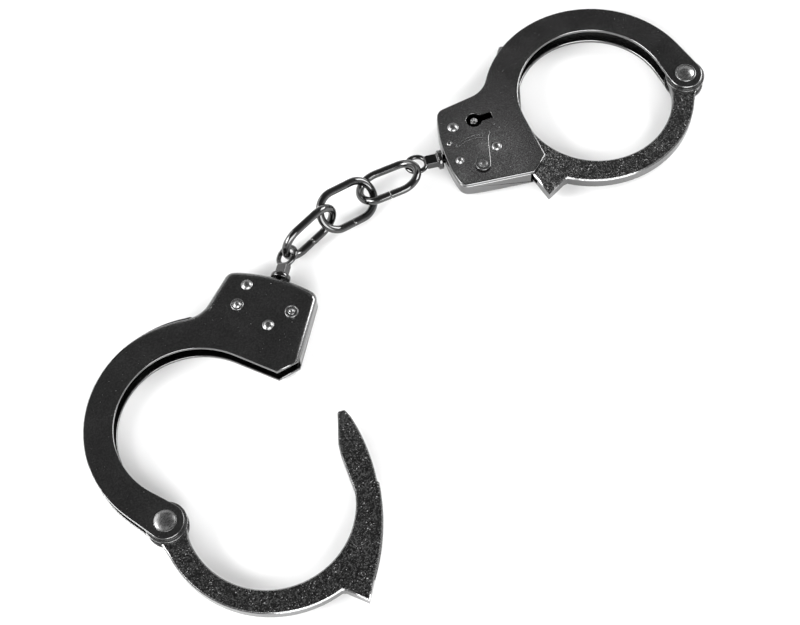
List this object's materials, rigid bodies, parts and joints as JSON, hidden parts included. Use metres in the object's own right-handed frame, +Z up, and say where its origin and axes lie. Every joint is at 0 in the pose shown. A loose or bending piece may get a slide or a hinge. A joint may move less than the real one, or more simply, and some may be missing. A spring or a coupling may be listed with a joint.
{
  "type": "handcuffs",
  "caption": "Handcuffs: ratchet cuffs with swinging bows, case-mounted release levers and key posts, swivel eyes and a short chain; one cuff closed, one open.",
  "frame": {"origin": "middle of the footprint, on the surface that the handcuffs lie on", "axes": "+X from the open cuff along the chain to the closed cuff, +Z up from the surface, +Y away from the chain's hollow side"},
  "size_m": [0.2584, 0.12, 0.0168],
  "materials": {
    "cheek_plating": "black nickel plating, glossy, lightly pitted",
    "bow_plating": "black nickel plating, glossy, pitted and speckled",
    "rivet_steel": "polished dark nickel",
    "chain_plating": "polished dark nickel",
    "inner_steel": "plain pressed steel"
  },
  "bodies": {
    "closed_case": {"closed_front_plate": "cheek_plating", "closed_rear_shell": "cheek_plating", "closed_hinge_rivet": "rivet_steel", "closed_hinge_washers": "rivet_steel", "closed_back_rivet": "rivet_steel", "closed_mid_rivet": "rivet_steel", "closed_keeper_pin": "rivet_steel", "closed_key_post": "rivet_steel", "closed_pawl_spring": "inner_steel"},
    "closed_bow": {"closed_bow": "bow_plating"},
    "closed_release": {"closed_release_lever": "cheek_plating", "closed_lever_shaft": "rivet_steel", "closed_pawl": "inner_steel"},
    "closed_swivel": {"closed_swivel": "chain_plating"},
    "open_case": {"open_front_plate": "cheek_plating", "open_rear_shell": "cheek_plating", "open_hinge_rivet": "rivet_steel", "open_hinge_washers": "rivet_steel", "open_back_rivet": "rivet_steel", "open_mid_rivet": "rivet_steel", "open_keeper_pin": "rivet_steel", "open_key_post": "rivet_steel", "open_pawl_spring": "inner_steel"},
    "open_bow": {"open_bow": "bow_plating"},
    "open_release": {"open_release_lever": "cheek_plating", "open_lever_shaft": "rivet_steel", "open_pawl": "inner_steel"},
    "open_swivel": {"open_swivel": "chain_plating"},
    "link_1": {"link_1": "chain_plating"},
    "link_2": {"link_2": "chain_plating"},
    "link_3": {"link_3": "chain_plating"}
  },
  "joints": [
    {"name": "closed_bow_hinge", "type": "hinge", "parent": "closed_case", "child": "closed_bow", "pos_m": [0.12138, 0.00471, 0.005], "axis": [0, 0, 1], "range_deg": [-4, 290]},
    {"name": "closed_lever_turn", "type": "hinge", "parent": "closed_case", "child": "closed_release", "pos_m": [0.04275, 0.0273, 0.005], "axis": [0, 0, 1], "range_deg": [0, 45], "stiffness_Nm_per_rad": 0.01, "springref_deg": -20.05, "deforming": ["closed_pawl_spring"]},
    {"name": "closed_swivel_turn", "type": "hinge", "parent": "closed_case", "child": "closed_swivel", "pos_m": [0.02764, 0.04539, 0.005], "axis": [0.8613, -0.5081, 0], "continuous": true},
    {"name": "closed_eye_link", "type": "hinge", "parent": "closed_swivel", "child": "link_3", "pos_m": [0.02458, 0.04719, 0.005], "axis": [0.497, 0.8425, -0.2079], "range_deg": [-35, 20]},
    {"name": "link_3_to_2", "type": "hinge", "parent": "link_3", "child": "link_2", "pos_m": [0.00554, 0.05074, 0.00439], "axis": [0.542, 0.7813, -0.3096], "range_deg": [-30, 30]},
    {"name": "link_2_to_1", "type": "hinge", "parent": "link_2", "child": "link_1", "pos_m": [-0.01226, 0.05053, 0.00903], "axis": [0.2211, 0.7188, 0.6592], "range_deg": [-8, 30]},
    {"name": "open_eye_link", "type": "hinge", "parent": "link_1", "child": "open_swivel", "pos_m": [-0.02959, 0.04907, 0.00789], "axis": [-0.0566, 0.0694, 0.996], "range_deg": [-30, 30]},
    {"name": "open_swivel_turn", "type": "hinge", "parent": "open_swivel", "child": "open_case", "pos_m": [-0.02936, 0.04943, 0.005], "axis": [-0.8273, -0.5618, 0], "continuous": true},
    {"name": "open_bow_hinge", "type": "hinge", "parent": "open_case", "child": "open_bow", "pos_m": [-0.12032, 0.00289, 0.005], "axis": [0, 0, -1], "range_deg": [-71.4, 223.6]},
    {"name": "open_lever_turn", "type": "hinge", "parent": "open_case", "child": "open_release", "pos_m": [-0.04328, 0.03042, 0.005], "axis": [0, 0, -1], "range_deg": [0, 45], "stiffness_Nm_per_rad": 0.01, "springref_deg": -20.05, "deforming": ["open_pawl_spring"]}
  ]
}
